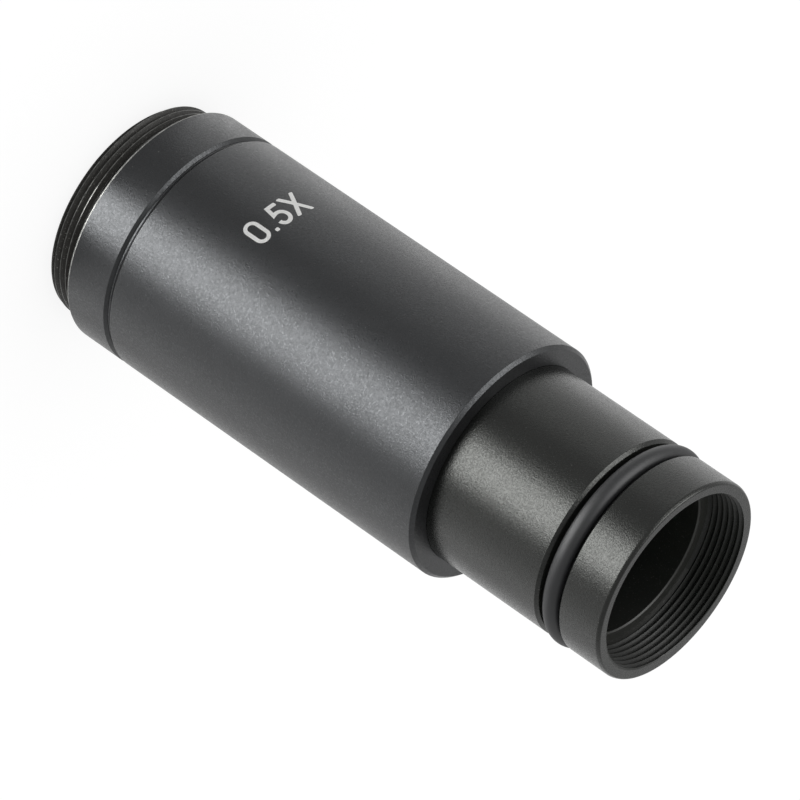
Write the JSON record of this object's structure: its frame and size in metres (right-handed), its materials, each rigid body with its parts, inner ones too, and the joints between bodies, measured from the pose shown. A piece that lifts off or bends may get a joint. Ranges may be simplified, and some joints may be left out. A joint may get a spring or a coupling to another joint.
{
  "type": "microscope camera adapter",
  "caption": "Black microscope camera adapter: a camera thread at one end, a narrower eyepiece tube with a rubber seal at the other, and a reducing relay lens inside.",
  "frame": {"origin": "centre of the camera end's rim, on the surface that the adapter stands on", "axes": "+Z along the optical axis, from the camera end to the eyepiece mouth"},
  "size_m": [0.0276, 0.0276, 0.0767],
  "materials": {
    "barrel_anodised": "fine bead-blasted black anodising",
    "tube_anodised": "coarser bead-blasted black anodising",
    "inner_blackened": "dull black anodising",
    "seal_rubber": "smooth moulded rubber",
    "lens_glass": "polished, coated"
  },
  "bodies": {
    "root": {"c_mount_collar": "barrel_anodised", "main_barrel": "barrel_anodised", "eyepiece_tube": "tube_anodised", "o_ring": "seal_rubber", "lens_cell": "inner_blackened", "rear_doublet_crown": "lens_glass", "rear_doublet_flint": "lens_glass", "rear_retaining_ring": "inner_blackened", "front_doublet_crown": "lens_glass", "front_doublet_flint": "lens_glass", "front_retaining_ring": "inner_blackened", "field_lens": "lens_glass", "field_lens_retaining_ring": "inner_blackened"}
  },
  "joints": []
}
